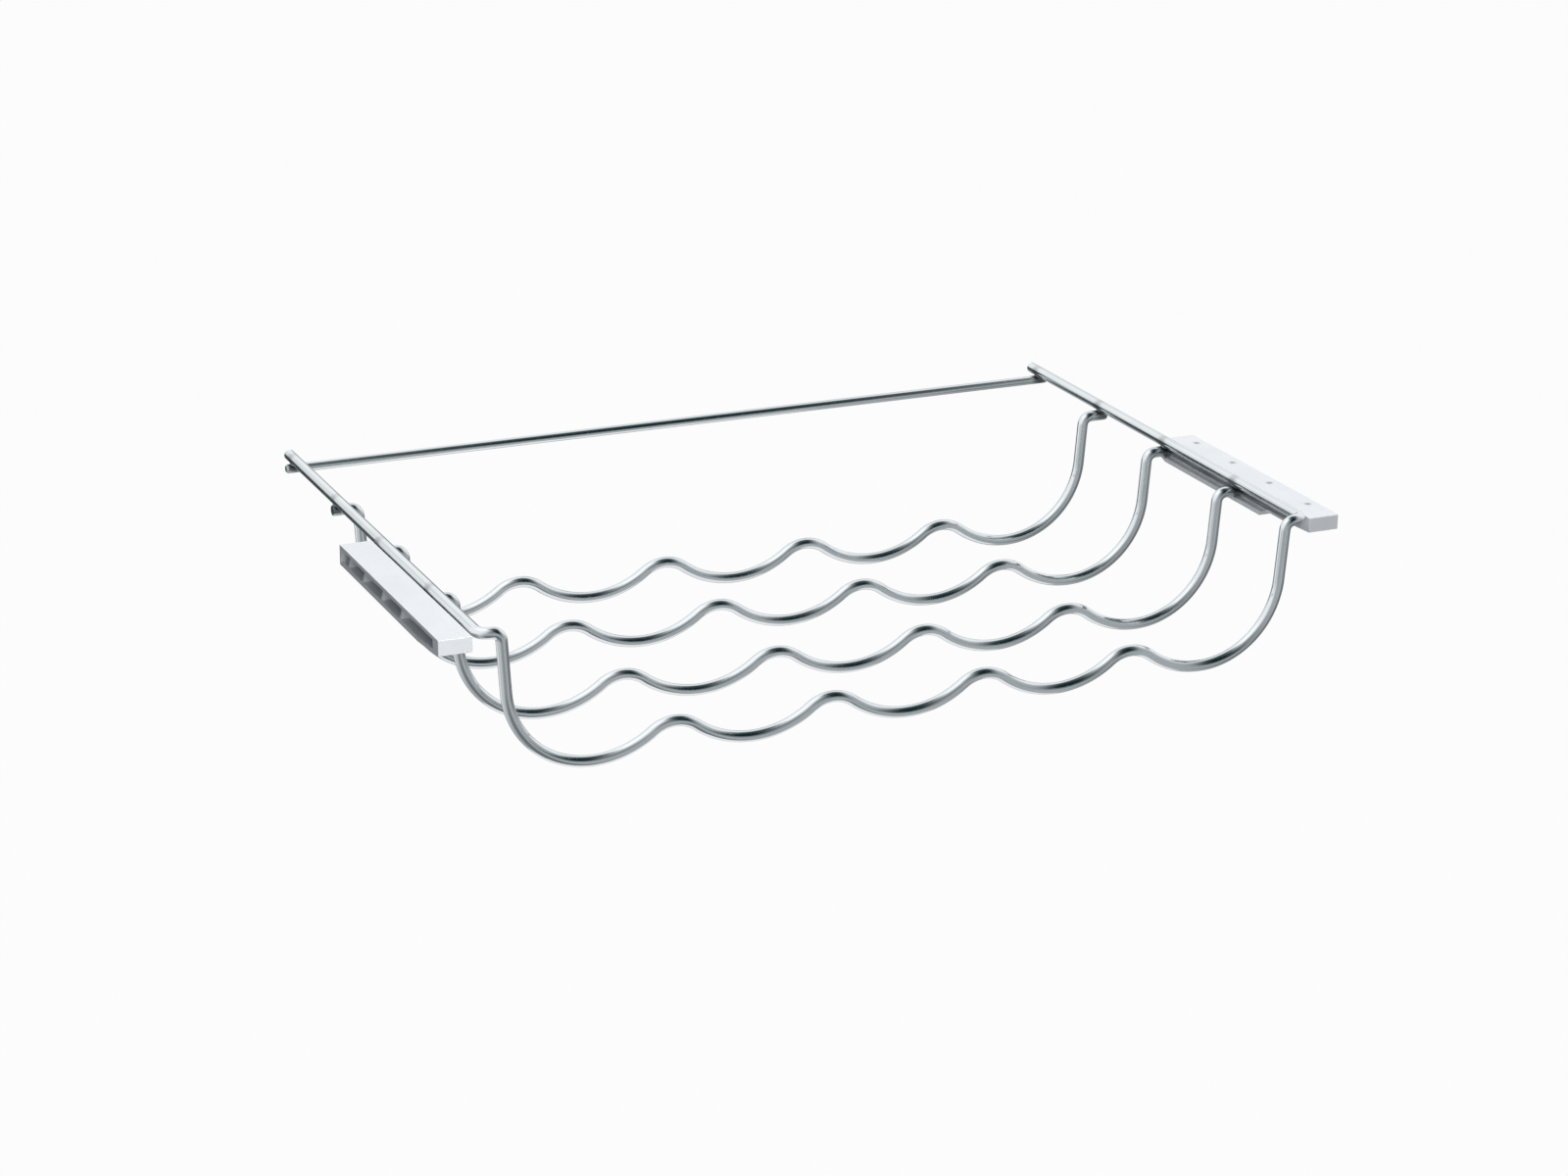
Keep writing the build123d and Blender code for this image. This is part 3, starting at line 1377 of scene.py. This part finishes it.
    def _tent_point(self, row: int, column: int) -> Vector:
        """Place of a point of the tent, which stays above the floor.

        Args:
            row: from the lowest row up.
            column: from the right, round to the back.

        Returns:
            The point.
        """
        rise = self.tent_high - self.tent_low
        up = self.tent_low + rise * row / (self.tent_rows - 1)
        around = tau * column / self.tent_columns
        direction = Vector((cos(up) * cos(around), cos(up) * sin(around), sin(up)))
        reach = self.tent_radius
        if up < 0.0:
            reach = min(reach, (self.floor_z + self.tent_gap) / sin(up))
        return direction * reach

    def _tent(self) -> None:
        """Tent of pale and dark cloth around the rack, which only mirrors show."""
        shape = bmesh.new()
        grid = [
            [shape.verts.new(self._tent_point(row, column)) for column in range(self.tent_columns)]
            for row in range(self.tent_rows)
        ]
        for lower, upper in zip(grid, grid[1:]):
            for column in range(self.tent_columns):
                after = (column + 1) % self.tent_columns
                shape.faces.new((lower[column], upper[column], upper[after], lower[after]))
        shape.faces.new(grid[-1])
        mesh = bpy.data.meshes.new("cloth_tent")
        shape.to_mesh(mesh)
        shape.free()
        mesh.materials.append(self._tent_material())
        tent = add_piece("cloth_tent", mesh)
        tent.visible_camera = False
        tent.visible_diffuse = False
        tent.visible_transmission = False
        tent.visible_volume_scatter = False
        tent.visible_shadow = False

    def _tent_material(self) -> bpy.types.Material:
        """Make grey cloth with its pale and dark stretches.

        Returns:
            The new material.
        """
        material, graph, shader = new_material("cloth_tent")
        kind = "ShaderNodeVectorMath"
        ahead = graph.add(kind, {"operation": "NORMALIZE"}, {0: graph.place()})
        colour: Any = self.tent_grey
        for cloth in self.cloths:
            sockets = {0: ahead.outputs[0], 1: cloth.direction()}
            near = graph.number(kind, "Value", {"operation": "DOT_PRODUCT"}, sockets)
            apart = near.math("ARCCOSINE", near)
            share = apart.ramp(radians(cloth.outer), radians(cloth.inner))
            tinted = tuple(cloth.grey + haze for haze in self.tent_haze)
            colour = graph.blend(share, colour, tinted)
        glow = graph.add("ShaderNodeEmission", None, {"Color": colour, "Strength": 1.0})
        graph.feed(material.node_tree.nodes["Material Output"].inputs["Surface"], glow.outputs[0])
        material.node_tree.nodes.remove(shader)
        material.cycles.emission_sampling = "NONE"
        return material


@dataclass
class PhotoCamera:
    """Camera at the photograph's place, solved from the repeating bays."""

    azimuth: float = radians(24.600)
    elevation: float = radians(19.723)
    roll: float = radians(-0.796)
    offset: Point = (0.7356, 0.7301, 21.9025)
    unit: float = 0.086
    origin: Point = (0.0, -0.152, 0.003)
    focal_pixels: float = 3766.8
    image_width: float = 1600.0
    sensor_width: float = 36.0
    clip_end: float = 100.0

    def build(self) -> None:
        """Make the camera and use it."""
        sin_a, cos_a = sin(self.azimuth), cos(self.azimuth)
        sin_e, cos_e = sin(self.elevation), cos(self.elevation)
        forward = Vector((sin_a * cos_e, cos_a * cos_e, -sin_e))
        level = Vector((cos_a, -sin_a, 0.0))
        below = forward.cross(level)
        right = level * cos(self.roll) + below * sin(self.roll)
        down = below * cos(self.roll) - level * sin(self.roll)
        axes = Matrix((right, down, forward))
        place = -(axes.transposed() @ Vector(self.offset)) * self.unit + Vector(self.origin)
        lens = bpy.data.cameras.new("photo_camera")
        lens.sensor_width = self.sensor_width
        lens.lens = self.focal_pixels * self.sensor_width / self.image_width
        lens.clip_end = self.clip_end
        camera = bpy.data.objects.new("photo_camera", lens)
        turned = Matrix((right, -down, -forward)).transposed().to_4x4()
        camera.matrix_world = Matrix.Translation(place) @ turned
        bpy.context.scene.collection.objects.link(camera)
        bpy.context.scene.camera = camera


def main() -> None:
    """Build the rack, the guides, the studio and the camera, in that order."""
    logging.basicConfig(level=logging.INFO, format="%(name)s: %(message)s")
    bpy.context.scene.view_settings.view_transform = "Standard"
    for assembly in (WireRack(), SideGuides()):
        for piece in assembly.build():
            log.info("%s with %d faces", piece.name, len(piece.data.polygons))
    Studio().build()
    PhotoCamera().build()


if __name__ == "__main__":
    main()
